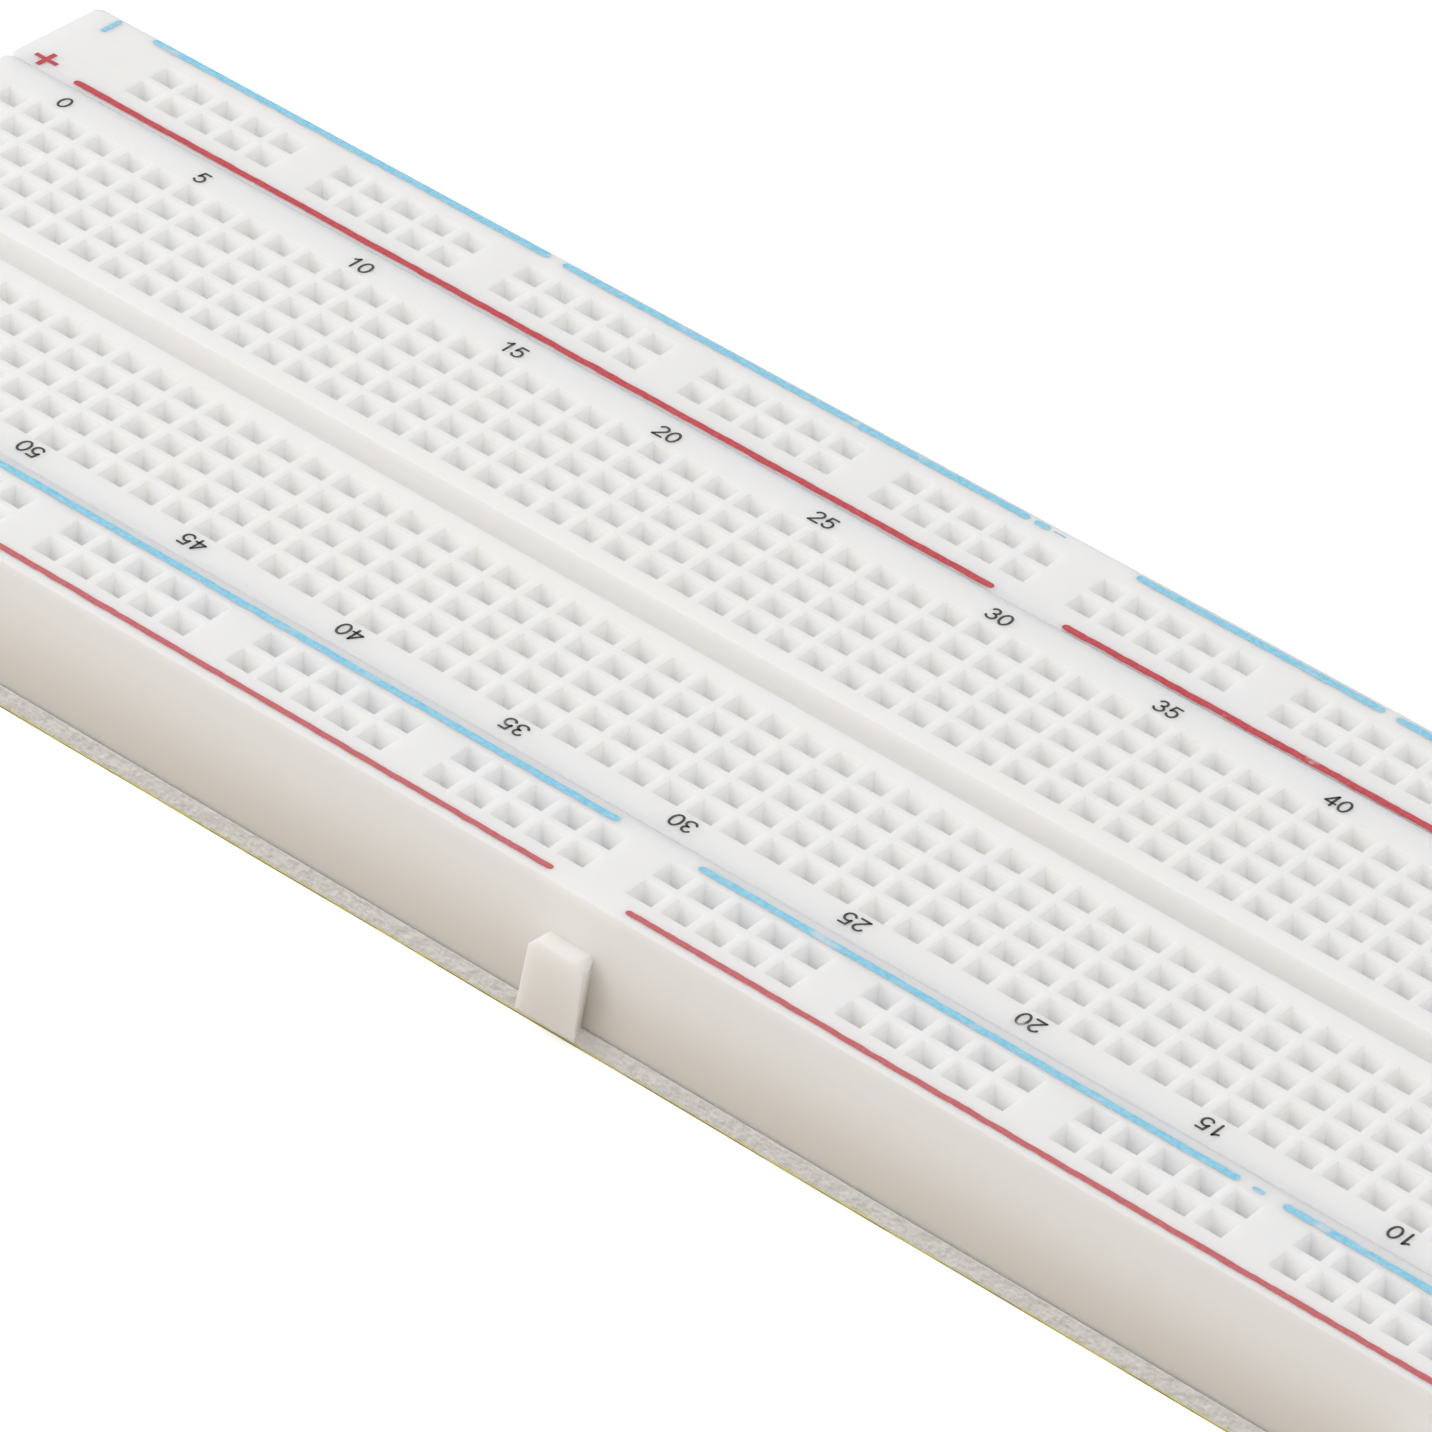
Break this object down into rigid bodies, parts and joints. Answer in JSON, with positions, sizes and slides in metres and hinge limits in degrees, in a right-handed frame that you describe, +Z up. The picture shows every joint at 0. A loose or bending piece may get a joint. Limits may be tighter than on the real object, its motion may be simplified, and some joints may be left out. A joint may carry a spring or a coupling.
{
  "type": "solderless breadboard",
  "caption": "Modular solderless breadboard: a terminal strip with a centre channel between two power rails that lift off dovetail tabs, with spring clips inside and a foam backing.",
  "frame": {"origin": "centre of the contact grid, on the surface that the board stands on (centre of the underside mount)", "axes": "+X along the board towards the last column, +Y from the near power rail to the far one, +Z up out of the contact openings"},
  "size_m": [0.1664, 0.0547, 0.01],
  "materials": {
    "housing_plastic": "moulded white ABS with a soft sheen and a faint texture",
    "foam_tape": "double-sided foam tape, pale grey, open cells at the cut edge",
    "release_paper": "pale yellow siliconised paper",
    "contact_metal": "nickel-plated phosphor bronze sheet",
    "ink_red": "printed crimson line, thin at the edges",
    "ink_blue": "printed sky-blue line, worn in places",
    "ink_black": "printed dark grey figures"
  },
  "bodies": {
    "far_rail": {"far_rail_contact_far_row_left": "contact_metal", "far_rail_contact_far_row_right": "contact_metal", "far_rail_contact_near_row_left": "contact_metal", "far_rail_contact_near_row_right": "contact_metal", "far_rail_foam_backing": "foam_tape", "far_rail_housing": "housing_plastic", "far_rail_release_liner": "release_paper"},
    "terminal_strip": {"far_bank_clips_01_to_05": "contact_metal", "far_bank_clips_06_to_10": "contact_metal", "far_bank_clips_11_to_15": "contact_metal", "far_bank_clips_16_to_20": "contact_metal", "far_bank_clips_21_to_25": "contact_metal", "far_bank_clips_26_to_30": "contact_metal", "far_bank_clips_31_to_35": "contact_metal", "far_bank_clips_36_to_40": "contact_metal", "far_bank_clips_41_to_45": "contact_metal", "far_bank_clips_46_to_50": "contact_metal", "far_bank_clips_51_to_55": "contact_metal", "far_bank_clips_56_to_60": "contact_metal", "far_bank_clips_61_to_63": "contact_metal", "near_bank_clips_01_to_05": "contact_metal", "near_bank_clips_06_to_10": "contact_metal", "near_bank_clips_11_to_15": "contact_metal", "near_bank_clips_16_to_20": "contact_metal", "near_bank_clips_21_to_25": "contact_metal", "near_bank_clips_26_to_30": "contact_metal", "near_bank_clips_31_to_35": "contact_metal", "near_bank_clips_36_to_40": "contact_metal", "near_bank_clips_41_to_45": "contact_metal", "near_bank_clips_46_to_50": "contact_metal", "near_bank_clips_51_to_55": "contact_metal", "near_bank_clips_56_to_60": "contact_metal", "near_bank_clips_61_to_63": "contact_metal", "terminal_strip_foam_backing": "foam_tape", "terminal_strip_housing": "housing_plastic", "terminal_strip_release_liner": "release_paper"},
    "near_rail": {"near_rail_contact_far_row_left": "contact_metal", "near_rail_contact_far_row_right": "contact_metal", "near_rail_contact_near_row_left": "contact_metal", "near_rail_contact_near_row_right": "contact_metal", "near_rail_foam_backing": "foam_tape", "near_rail_housing": "housing_plastic", "near_rail_release_liner": "release_paper"}
  },
  "joints": [
    {"name": "terminal_strip_lift", "type": "slide", "parent": "far_rail", "child": "terminal_strip", "axis": [0, 0, 1], "range_m": [0, 0.012]},
    {"name": "near_rail_lift", "type": "slide", "parent": "terminal_strip", "child": "near_rail", "axis": [0, 0, 1], "range_m": [0, 0.012]}
  ]
}
